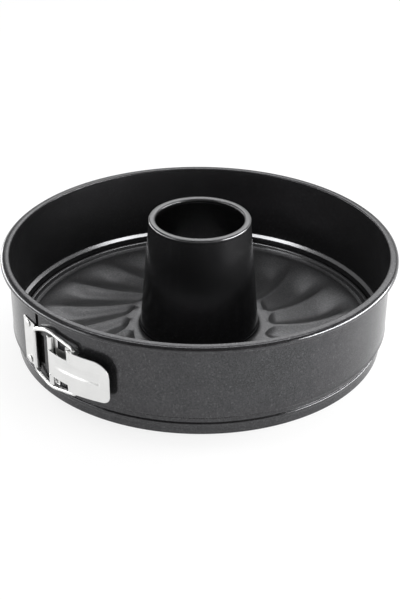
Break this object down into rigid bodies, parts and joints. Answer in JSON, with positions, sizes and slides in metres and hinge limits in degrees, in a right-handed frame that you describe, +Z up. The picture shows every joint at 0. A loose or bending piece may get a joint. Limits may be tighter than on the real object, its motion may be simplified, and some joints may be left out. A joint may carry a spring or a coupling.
{
  "type": "springform savarin pan",
  "caption": "Round springform ring-cake pan: a sprung side band with a lever latch round a removable swirl-fluted base with a tall open centre tube.",
  "frame": {"origin": "on the table under the axis of the centre tube", "axes": "+Z up along the tube's axis; -Y out of the seam where the latch closes the band; +X to the right as the latch is faced"},
  "size_m": [0.27, 0.27, 0.0879],
  "materials": {
    "coated_band": "satin dark grey non-stick coating on steel sheet",
    "coated_base": "satin dark grey non-stick coating on pressed steel sheet",
    "tinned_steel": "bright tinned steel with a fine rolling grain"
  },
  "bodies": {
    "band": {"side_band": "coated_band", "catch_plate": "tinned_steel", "catch_rivet_upper": "tinned_steel", "catch_rivet_lower": "tinned_steel", "lever_bracket": "tinned_steel", "bracket_rivet_upper": "tinned_steel", "bracket_rivet_lower": "tinned_steel", "hinge_pin": "tinned_steel"},
    "base": {"base_plate": "coated_base", "centre_tube": "coated_base"},
    "lever": {"lever": "tinned_steel"},
    "bail": {"wire_bail": "tinned_steel"}
  },
  "joints": [
    {"name": "lever_swing", "type": "hinge", "parent": "band", "child": "lever", "pos_m": [0.01752, -0.13093, 0.0335], "axis": [0, 0, -1], "range_deg": [0, 150]},
    {"name": "bail_swing", "type": "hinge", "parent": "lever", "child": "bail", "pos_m": [0.03835, -0.12735, 0.0335], "axis": [0, 0, -1], "range_deg": [-150, 0]},
    {"name": "base_lift", "type": "slide", "parent": "band", "child": "base", "axis": [0, 0, 1], "range_m": [0, 0.09]}
  ],
  "couplings": [
    {"joint": "bail_swing", "follows": "lever_swing", "ratio": -1}
  ]
}
